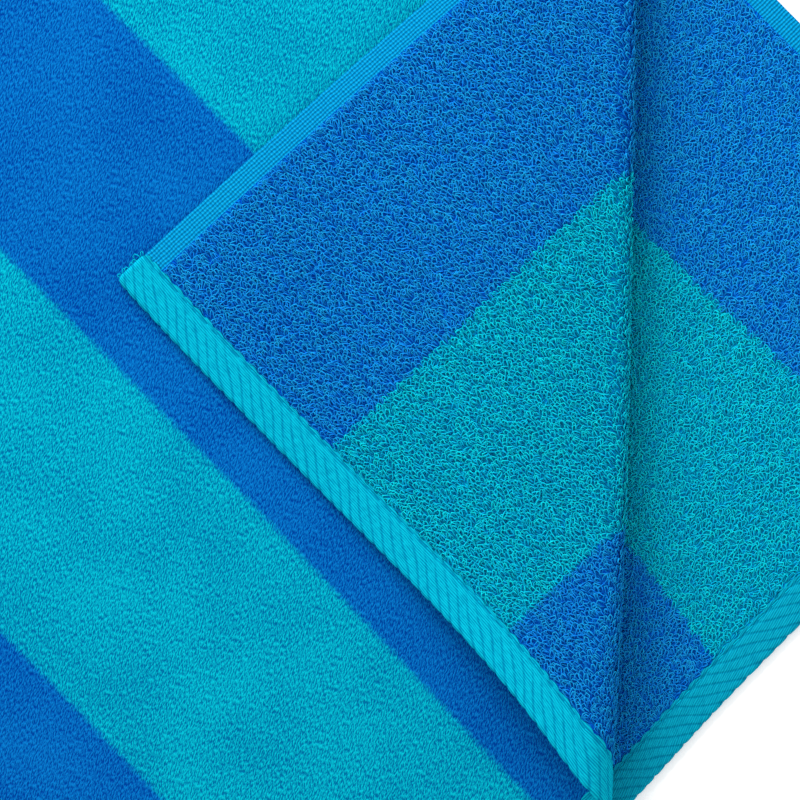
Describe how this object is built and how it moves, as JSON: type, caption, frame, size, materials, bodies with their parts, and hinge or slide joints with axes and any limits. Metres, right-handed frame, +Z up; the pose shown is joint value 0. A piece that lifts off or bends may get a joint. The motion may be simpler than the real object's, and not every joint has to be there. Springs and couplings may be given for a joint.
{
  "type": "beach towel, folded in half with one corner turned back",
  "caption": "Large striped cotton beach towel folded in half hem to hem, velour outside, with one corner of the upper layer turned back over a soft roll to show the looped face.",
  "frame": {"origin": "middle of the folded towel, on the surface it lies on", "axes": "+Z up, the thin way through the layers; +Y towards the crosswise fold, with both hems at the front (-Y); +X along the hems, with the turned corner at the front right"},
  "size_m": [0.8, 0.7994, 0.0281],
  "materials": {
    "towel": "cotton velour and loops, matt, royal blue with turquoise stripes"
  },
  "bodies": {
    "root": {"towel": "towel"}
  },
  "joints": []
}
